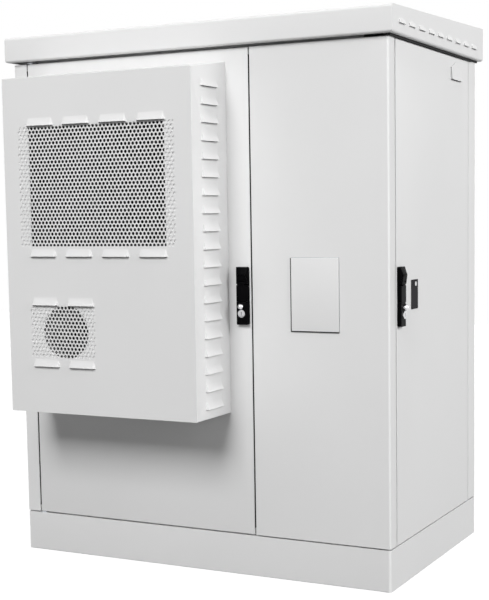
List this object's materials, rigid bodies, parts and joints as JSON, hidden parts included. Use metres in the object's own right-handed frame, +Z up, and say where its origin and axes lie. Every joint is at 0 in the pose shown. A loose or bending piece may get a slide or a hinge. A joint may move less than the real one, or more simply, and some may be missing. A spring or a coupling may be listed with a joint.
{
  "type": "roadside utility cabinet",
  "caption": "Light grey sheet-metal roadside cabinet on a plinth, with a rain hood, a front door carrying a vented cooler, a side door, and black swing handles.",
  "frame": {"origin": "on the ground, at the centre of the four anchor holes in the plinth's lower flange", "axes": "+Z up; the front door faces -Y and the side door faces +X"},
  "size_m": [1.303, 0.985, 1.643],
  "materials": {
    "paint": "satin light grey powder coat",
    "zinc_plated": "zinc plated",
    "seal": "foamed rubber",
    "handle": "black coated zinc casting",
    "lock_chrome": "polished",
    "lock_cover": "dark polished",
    "coil": "finned",
    "fan": "moulded",
    "motor": "black enamel",
    "insulator": "moulded",
    "earth_bar": "bare"
  },
  "bodies": {
    "cabinet": {"plinth_front": "paint", "plinth_rear": "paint", "plinth_left": "paint", "plinth_right": "paint", "floor_pan": "paint", "gland_plate": "zinc_plated", "post_front_left": "paint", "post_rear_left": "paint", "post_rear_right": "paint", "left_panel": "paint", "rear_panel": "paint", "front_panel": "paint", "hatch_back": "zinc_plated", "hatch_plate": "paint", "partition": "zinc_plated", "roof_deck": "paint", "hood_rib_left": "zinc_plated", "hood_rib_right": "zinc_plated", "roof_hood": "paint", "hinge_front_low": "zinc_plated", "hinge_front_high": "zinc_plated", "hinge_side_low": "zinc_plated", "hinge_side_high": "zinc_plated", "rail_front_left": "zinc_plated", "rail_front_right": "zinc_plated", "rail_rear_left": "zinc_plated", "rail_rear_right": "zinc_plated", "mounting_plate": "zinc_plated", "din_rail_low": "zinc_plated", "din_rail_high": "zinc_plated", "earth_posts": "insulator", "earth_bar": "earth_bar"},
    "front_door": {"front_door": "paint", "front_seal": "seal", "cooler_shell": "paint", "cooler_front": "paint", "grille_upper": "paint", "grille_lower": "paint", "cooler_back": "zinc_plated", "cooler_baffle": "paint", "cooler_coil": "coil", "fan_motor": "motor", "fan_bridge": "zinc_plated", "front_grip_base": "handle"},
    "fan": {"fan": "fan"},
    "front_head": {"front_grip_head": "handle"},
    "front_lever": {"front_grip_lever": "handle"},
    "front_button": {"front_button": "lock_chrome"},
    "front_plug": {"front_plug": "lock_chrome"},
    "side_door": {"side_door": "paint", "side_seal": "seal", "cover_stud": "lock_chrome", "side_grip_base": "handle"},
    "lock_cover": {"lock_cover": "lock_cover"},
    "side_head": {"side_grip_head": "handle"},
    "side_lever": {"side_grip_lever": "handle"},
    "side_button": {"side_button": "lock_chrome"},
    "side_plug": {"side_plug": "lock_chrome"}
  },
  "joints": [
    {"name": "front_door_hinge", "type": "hinge", "parent": "cabinet", "child": "front_door", "pos_m": [-0.564, -0.372, 0.83], "axis": [0, 0, -1], "range_deg": [0, 105]},
    {"name": "side_door_hinge", "type": "hinge", "parent": "cabinet", "child": "side_door", "pos_m": [0.617, 0.298, 0.83], "axis": [0, 0, 1], "range_deg": [0, 110]},
    {"name": "fan_spin", "type": "hinge", "parent": "front_door", "child": "fan", "pos_m": [-0.314, -0.54, 0.72399], "axis": [0, 1, 0], "continuous": true},
    {"name": "front_handle_swing", "type": "hinge", "parent": "front_door", "child": "front_head", "pos_m": [0.1735, -0.38, 0.8805], "axis": [0, -1, 0], "range_deg": [0, 90]},
    {"name": "front_handle_lift", "type": "hinge", "parent": "front_head", "child": "front_lever", "pos_m": [0.1735, -0.39, 0.8655], "axis": [-1, 0, 0], "range_deg": [0, 30]},
    {"name": "front_button_press", "type": "slide", "parent": "front_door", "child": "front_button", "axis": [0, 1, 0], "range_m": [0, 0.0025], "stiffness_N_per_m": 400},
    {"name": "front_key_turn", "type": "hinge", "parent": "front_door", "child": "front_plug", "pos_m": [0.1735, -0.38, 0.776], "axis": [0, -1, 0], "range_deg": [0, 90]},
    {"name": "side_handle_swing", "type": "hinge", "parent": "side_door", "child": "side_head", "pos_m": [0.625, -0.3035, 0.8805], "axis": [1, 0, 0], "range_deg": [0, 90]},
    {"name": "side_handle_lift", "type": "hinge", "parent": "side_head", "child": "side_lever", "pos_m": [0.635, -0.3035, 0.8655], "axis": [0, -1, 0], "range_deg": [0, 30]},
    {"name": "side_button_press", "type": "slide", "parent": "side_door", "child": "side_button", "axis": [-1, 0, 0], "range_m": [0, 0.0025], "stiffness_N_per_m": 400},
    {"name": "side_key_turn", "type": "hinge", "parent": "side_door", "child": "side_plug", "pos_m": [0.625, -0.3035, 0.776], "axis": [1, 0, 0], "range_deg": [0, 90]},
    {"name": "lock_cover_turn", "type": "hinge", "parent": "side_door", "child": "lock_cover", "pos_m": [0.625, -0.188, 0.857], "axis": [1, 0, 0], "range_deg": [-95, 95]}
  ]
}
